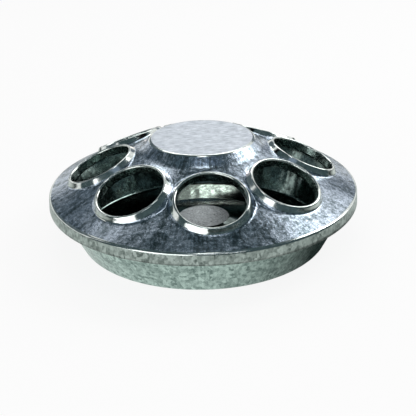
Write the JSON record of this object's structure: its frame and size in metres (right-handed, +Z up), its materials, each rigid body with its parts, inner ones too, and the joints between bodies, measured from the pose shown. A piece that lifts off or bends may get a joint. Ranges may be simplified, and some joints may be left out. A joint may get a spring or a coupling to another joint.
{
  "type": "round poultry feeder",
  "caption": "Low round sheet-metal chick feeder: a conical lid with a ring of raised, flanged feeding holes rests on the curled rim of a shallow flared pan.",
  "frame": {"origin": "centre of the pan's base, on the surface that the feeder stands on", "axes": "+Z up along the feeder's axis, +X through one feeding hole and +Y through another, with a feeding hole facing -Y at the front"},
  "size_m": [0.165, 0.165, 0.055],
  "materials": {
    "lid_galvanised": "bright hot-dip zinc, glossy, mottled and streaked by drawing",
    "pan_galvanised": "hot-dip zinc with a fine grey-green spangle, semi-gloss"
  },
  "bodies": {
    "root": {"feeder_lid": "lid_galvanised", "feed_pan": "pan_galvanised"}
  },
  "joints": []
}
